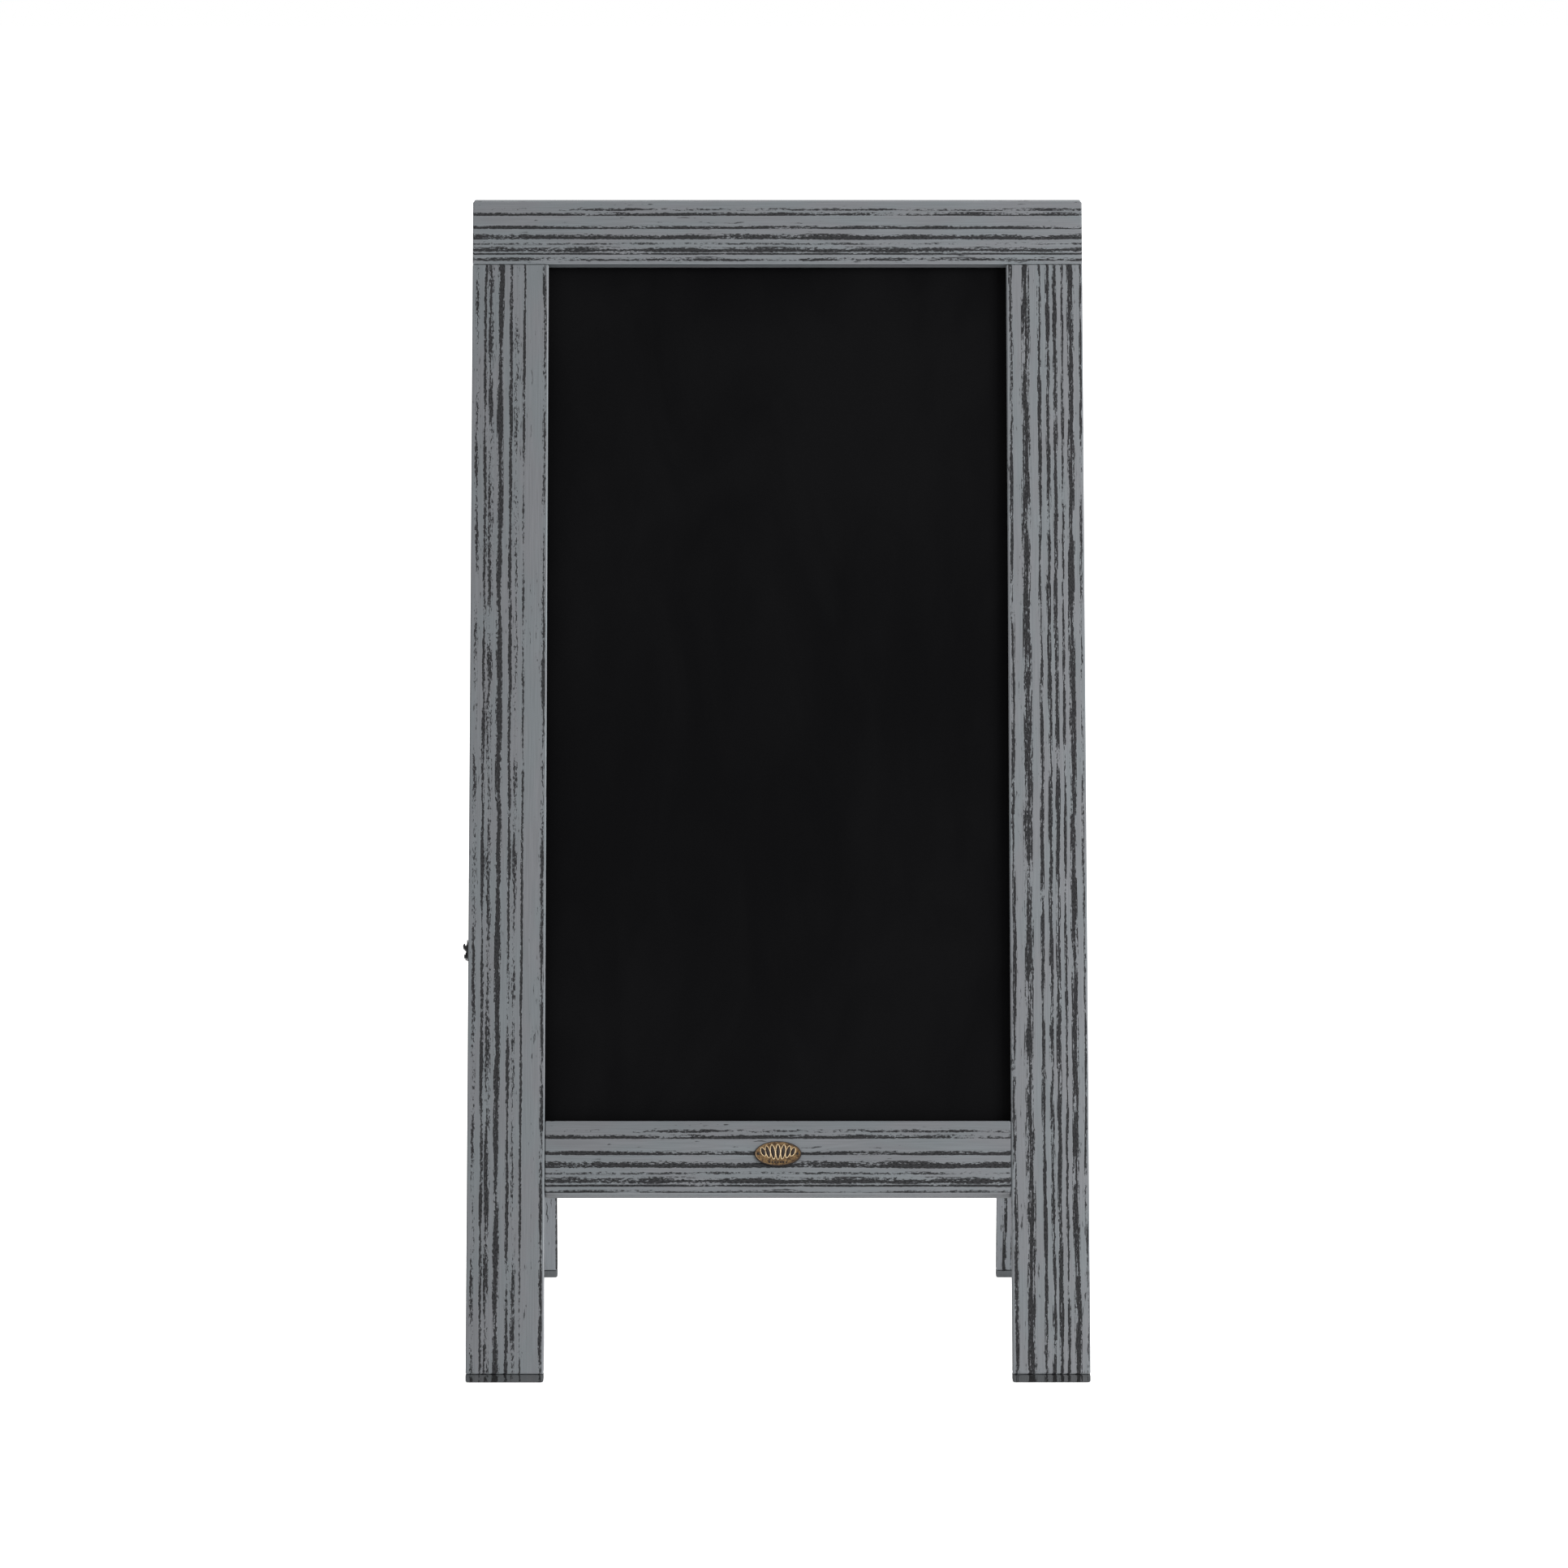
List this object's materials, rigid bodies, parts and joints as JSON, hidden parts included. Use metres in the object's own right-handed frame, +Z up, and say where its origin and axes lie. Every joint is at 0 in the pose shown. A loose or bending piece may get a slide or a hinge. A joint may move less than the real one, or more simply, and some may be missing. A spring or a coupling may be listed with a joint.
{
  "type": "folding menu chalkboard easel",
  "caption": "Free-standing double-sided A-frame chalkboard sign in distressed grey wood, hinged at the top, with spread chains and a side catch.",
  "frame": {"origin": "on the floor, midway across the sign and straight under the top hinge axis", "axes": "+Z up, +X to the right of someone facing the front board, front board facing -Y"},
  "size_m": [0.5125, 0.7774, 0.9475],
  "materials": {
    "grey_wood": "distressed grey wash, matte",
    "bead_wood": "grey-brown stained strip and tenon wood",
    "chalkboard": "matte black chalkboard paint",
    "foot_pad": "dark hard foot pad",
    "antique_brass": "antique",
    "brass_pin": "dark antique",
    "black_iron": "satin black",
    "black_hook": "satin black",
    "black_screw": "satin black",
    "hinge_steel": "dark bronze-black",
    "pin_steel": "satin",
    "screw_steel": "dark zinc",
    "chain_steel": "zinc plated"
  },
  "bodies": {
    "front_frame": {"catch_pivot_screw": "black_screw", "catch_plate": "black_iron", "catch_plate_screw": "black_screw", "chain_screw_left_front": "screw_steel", "chain_screw_right_front": "screw_steel", "front_bottom_bead": "bead_wood", "front_bottom_rail": "grey_wood", "front_chalkboard": "chalkboard", "front_left_bead": "bead_wood", "front_left_bottom_tenon": "bead_wood", "front_left_foot_pad": "foot_pad", "front_left_stile": "grey_wood", "front_left_top_tenon": "bead_wood", "front_right_bead": "bead_wood", "front_right_bottom_tenon": "bead_wood", "front_right_foot_pad": "foot_pad", "front_right_stile": "grey_wood", "front_right_top_tenon": "bead_wood", "front_top_bead": "bead_wood", "front_top_rail": "grey_wood", "hinge_left_front_leaf": "hinge_steel", "hinge_left_front_screw_1": "screw_steel", "hinge_left_front_screw_2": "screw_steel", "hinge_left_pin": "pin_steel", "hinge_right_front_leaf": "hinge_steel", "hinge_right_front_screw_1": "screw_steel", "hinge_right_front_screw_2": "screw_steel", "hinge_right_pin": "pin_steel", "nameplate": "antique_brass", "nameplate_left_pin": "brass_pin", "nameplate_right_pin": "brass_pin", "spread_chain_left": "chain_steel", "spread_chain_right": "chain_steel"},
    "back_frame": {"back_bottom_bead": "bead_wood", "back_bottom_rail": "grey_wood", "back_chalkboard": "chalkboard", "back_left_bead": "bead_wood", "back_left_bottom_tenon": "bead_wood", "back_left_foot_pad": "foot_pad", "back_left_stile": "grey_wood", "back_left_top_tenon": "bead_wood", "back_right_bead": "bead_wood", "back_right_bottom_tenon": "bead_wood", "back_right_foot_pad": "foot_pad", "back_right_stile": "grey_wood", "back_right_top_tenon": "bead_wood", "back_top_bead": "bead_wood", "back_top_rail": "grey_wood", "chain_screw_left_back": "screw_steel", "chain_screw_right_back": "screw_steel", "hinge_left_back_leaf": "hinge_steel", "hinge_left_back_screw_1": "screw_steel", "hinge_left_back_screw_2": "screw_steel", "hinge_right_back_leaf": "hinge_steel", "hinge_right_back_screw_1": "screw_steel", "hinge_right_back_screw_2": "screw_steel", "keeper_peg": "black_screw", "keeper_washer": "black_iron"},
    "catch_hook": {"catch_hook": "black_hook"}
  },
  "joints": [
    {"name": "frame_fold", "type": "hinge", "parent": "front_frame", "child": "back_frame", "pos_m": [0, 0, 0.94297], "axis": [1, 0, 0], "range_deg": [-42.2, 0], "deforming": ["spread_chain_left", "spread_chain_right"]},
    {"name": "catch_swing", "type": "hinge", "parent": "front_frame", "child": "catch_hook", "pos_m": [-0.2558, -0.24908, 0.33497], "axis": [1, 0, 0], "range_deg": [-21.1, 27]}
  ]
}
